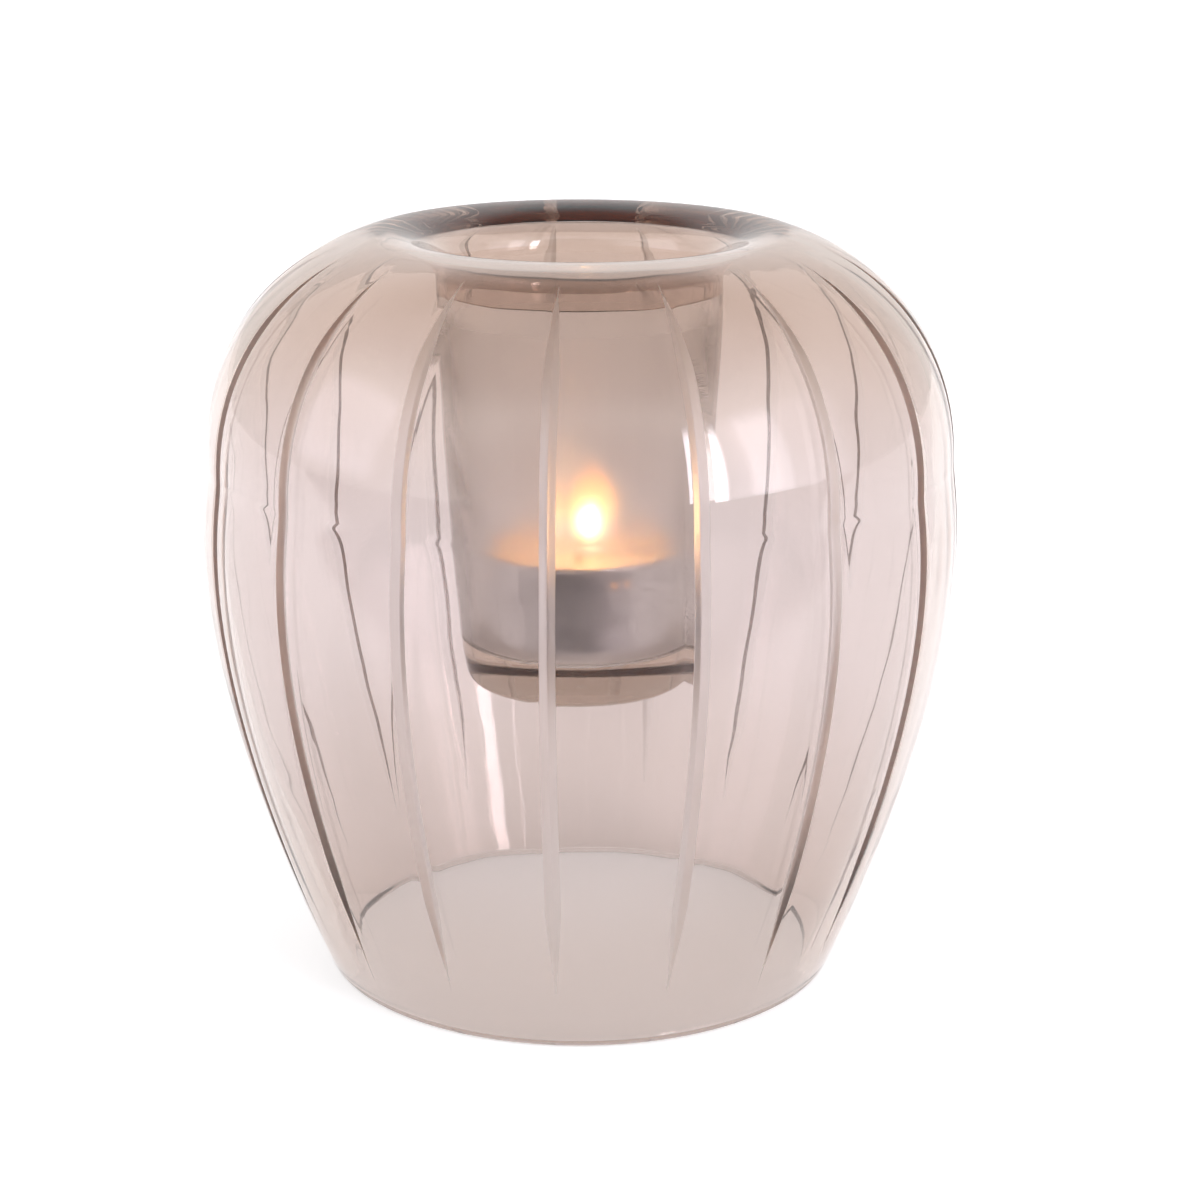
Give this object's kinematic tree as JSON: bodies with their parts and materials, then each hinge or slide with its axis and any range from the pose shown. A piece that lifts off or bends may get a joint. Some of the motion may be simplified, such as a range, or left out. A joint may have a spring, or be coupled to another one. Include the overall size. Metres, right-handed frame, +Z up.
{
  "type": "glass tealight holder",
  "caption": "Bell-shaped tinted glass tealight holder with cut vertical grooves, an open foot and a frosted cup hanging from its rolled lip, holding one lift-out tealight.",
  "frame": {"origin": "on the table, at the centre of the foot rim", "axes": "+Z up along the holder's axis, towards the mouth; -Y is the front"},
  "size_m": [0.1522, 0.1522, 0.1512],
  "materials": {
    "shade_glass": "clear blown glass with a pale smoky pink-brown tint, fire-polished lip, ground and polished grooves",
    "frosted_glass": "the same tinted glass with a fine satin frost",
    "aluminium": "thin drawn sheet, bright with fine drawing lines",
    "wax": "white paraffin wax, translucent, melted to a glossy pool round the wick",
    "tinplate": "thin tinned steel",
    "wick": "braided cotton, charred at the tip",
    "flame": "the candle's flame, for the look of a lit tealight only"
  },
  "bodies": {
    "holder": {"outer_shade": "shade_glass", "inner_cup": "frosted_glass"},
    "tealight": {"tealight_cup": "aluminium", "wax": "wax", "wick_sustainer": "tinplate", "wick": "wick"}
  },
  "joints": [
    {"name": "tealight_lift", "type": "slide", "parent": "holder", "child": "tealight", "axis": [0, 0, 1], "range_m": [0, 0.095]}
  ]
}
